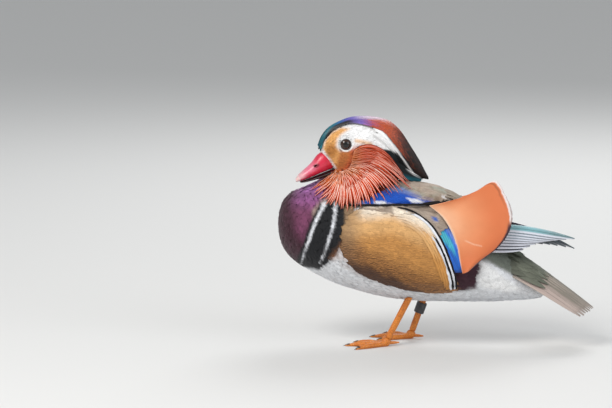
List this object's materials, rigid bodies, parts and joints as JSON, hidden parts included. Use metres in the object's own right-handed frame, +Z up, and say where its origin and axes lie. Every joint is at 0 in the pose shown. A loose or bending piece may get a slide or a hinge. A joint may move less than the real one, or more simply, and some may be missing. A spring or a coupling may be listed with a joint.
{
  "type": "mandarin duck model",
  "caption": "Life-size still model of a mandarin drake standing at rest, with crest, ruff, orange sails, fanned tail, webbed feet and a plain leg ring.",
  "frame": {"origin": "on the floor, under the middle of the bounding box", "axes": "+Z up, the bird faces -X, its left side is -Y"},
  "size_m": [0.2991, 0.112, 0.2161],
  "materials": {
    "feather_body": "close body plumage, from purple and barred black and white on the breast to white below",
    "feather_face": "short velvety face plumage, white brow and buff lores",
    "feather_neck": "chestnut neck plumage",
    "feather_crest": "glossy crest, teal and violet to copper and near black",
    "feather_ruff": "long chestnut hackles with pale shafts",
    "feather_flank": "golden flank plumage with fine vermiculation",
    "feather_wing": "olive-taupe coverts and silver-edged flight feathers",
    "feather_scapular": "taupe scapulars with a blue band",
    "feather_sail": "smooth orange vane with a white fringe",
    "feather_tail": "olive-brown tail feathers",
    "bill": "smooth crimson horn with a pale nail",
    "eye": "wet dark eye",
    "leg": "scaled orange skin",
    "ring": "plain dark grey band"
  },
  "bodies": {
    "root": {"torso": "feather_body", "neck": "feather_neck", "head": "feather_face", "crest": "feather_crest", "ruff_left": "feather_ruff", "ruff_right": "feather_ruff", "bill_upper": "bill", "bill_lower": "bill", "eye_left": "eye", "eye_right": "eye", "flank_left": "feather_flank", "flank_right": "feather_flank", "wing_left": "feather_wing", "wing_right": "feather_wing", "scapulars_left": "feather_scapular", "scapulars_right": "feather_scapular", "sail_left": "feather_sail", "sail_right": "feather_sail", "tail": "feather_tail", "leg_left": "leg", "leg_right": "leg", "foot_left": "leg", "foot_right": "leg", "leg_ring": "ring"}
  },
  "joints": []
}
